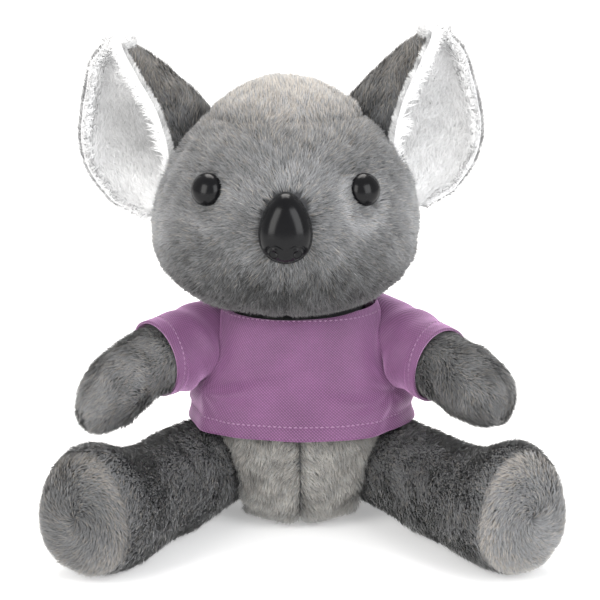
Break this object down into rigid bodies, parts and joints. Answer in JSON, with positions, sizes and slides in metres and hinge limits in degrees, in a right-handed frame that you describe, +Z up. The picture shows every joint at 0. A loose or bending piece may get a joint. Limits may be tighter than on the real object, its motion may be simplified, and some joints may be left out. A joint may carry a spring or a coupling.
{
  "type": "plush koala wearing a t-shirt",
  "caption": "Seated stuffed koala toy with big upright cup ears, a glossy black nose and eyes, and a purple short-sleeved T-shirt; the head turns and the limbs flex.",
  "frame": {"origin": "centre of the toy's box, on the floor that it sits on", "axes": "+Z up; the toy looks along -Y; +X to the viewer's right as they face it, from sole to sole"},
  "size_m": [0.187, 0.127, 0.1815],
  "materials": {
    "grey_fur": "short plush pile, grey",
    "pale_fur": "short plush pile, pale warm grey",
    "white_fur": "long soft pile, white",
    "black_gloss": "high gloss",
    "washer_plastic": "natural, matte",
    "purple_knit": "fine twill-faced knit, soft sheen",
    "white_fill": "loose polyester fibre"
  },
  "bodies": {
    "torso": {"belly_panel_left": "pale_fur", "belly_panel_right": "pale_fur", "torso_back_panel": "grey_fur", "torso_fill": "white_fill", "shirt_front": "purple_knit", "shirt_back": "purple_knit"},
    "head": {"head_crown_panel": "grey_fur", "head_cheek_panel_left": "grey_fur", "head_cheek_panel_right": "grey_fur", "head_back_panel": "grey_fur", "head_fill": "white_fill", "ear_back_left": "grey_fur", "ear_back_right": "grey_fur", "ear_lining_left": "white_fur", "ear_lining_right": "white_fur", "eye_left": "black_gloss", "eye_right": "black_gloss", "eye_washer_left": "washer_plastic", "eye_washer_right": "washer_plastic", "nose": "black_gloss", "nose_washer": "washer_plastic"},
    "arm_left": {"arm_panel_a_left": "grey_fur", "arm_panel_b_left": "grey_fur", "arm_fill_left": "white_fill", "sleeve_left": "purple_knit"},
    "leg_left": {"leg_panel_a_left": "grey_fur", "leg_panel_b_left": "grey_fur", "foot_sole_left": "pale_fur", "leg_fill_left": "white_fill"},
    "arm_right": {"arm_panel_a_right": "grey_fur", "arm_panel_b_right": "grey_fur", "arm_fill_right": "white_fill", "sleeve_right": "purple_knit"},
    "leg_right": {"leg_panel_a_right": "grey_fur", "leg_panel_b_right": "grey_fur", "foot_sole_right": "pale_fur", "leg_fill_right": "white_fill"}
  },
  "joints": [
    {"name": "neck_turn", "type": "hinge", "parent": "torso", "child": "head", "pos_m": [-0.00615, 0.02249, 0.079], "axis": [0, 0, 1], "range_deg": [-25, 25], "stiffness_Nm_per_rad": 0.1},
    {"name": "shoulder_left_raise", "type": "hinge", "parent": "torso", "child": "arm_left", "pos_m": [-0.03365, 0.02449, 0.0655], "axis": [-0.6157, 0.788, 0], "range_deg": [0, 25], "stiffness_Nm_per_rad": 0.02},
    {"name": "shoulder_right_raise", "type": "hinge", "parent": "torso", "child": "arm_right", "pos_m": [0.03135, 0.02449, 0.0655], "axis": [-0.6947, -0.7193, 0], "range_deg": [0, 25], "stiffness_Nm_per_rad": 0.02},
    {"name": "hip_left_drop", "type": "hinge", "parent": "torso", "child": "leg_left", "pos_m": [-0.03215, 0.02349, 0.0195], "axis": [-0.8616, 0.5075, 0], "range_deg": [-30, 0], "stiffness_Nm_per_rad": 0.05},
    {"name": "hip_right_drop", "type": "hinge", "parent": "torso", "child": "leg_right", "pos_m": [0.02985, 0.02349, 0.0195], "axis": [-0.8434, -0.5373, 0], "range_deg": [-30, 0], "stiffness_Nm_per_rad": 0.05}
  ]
}
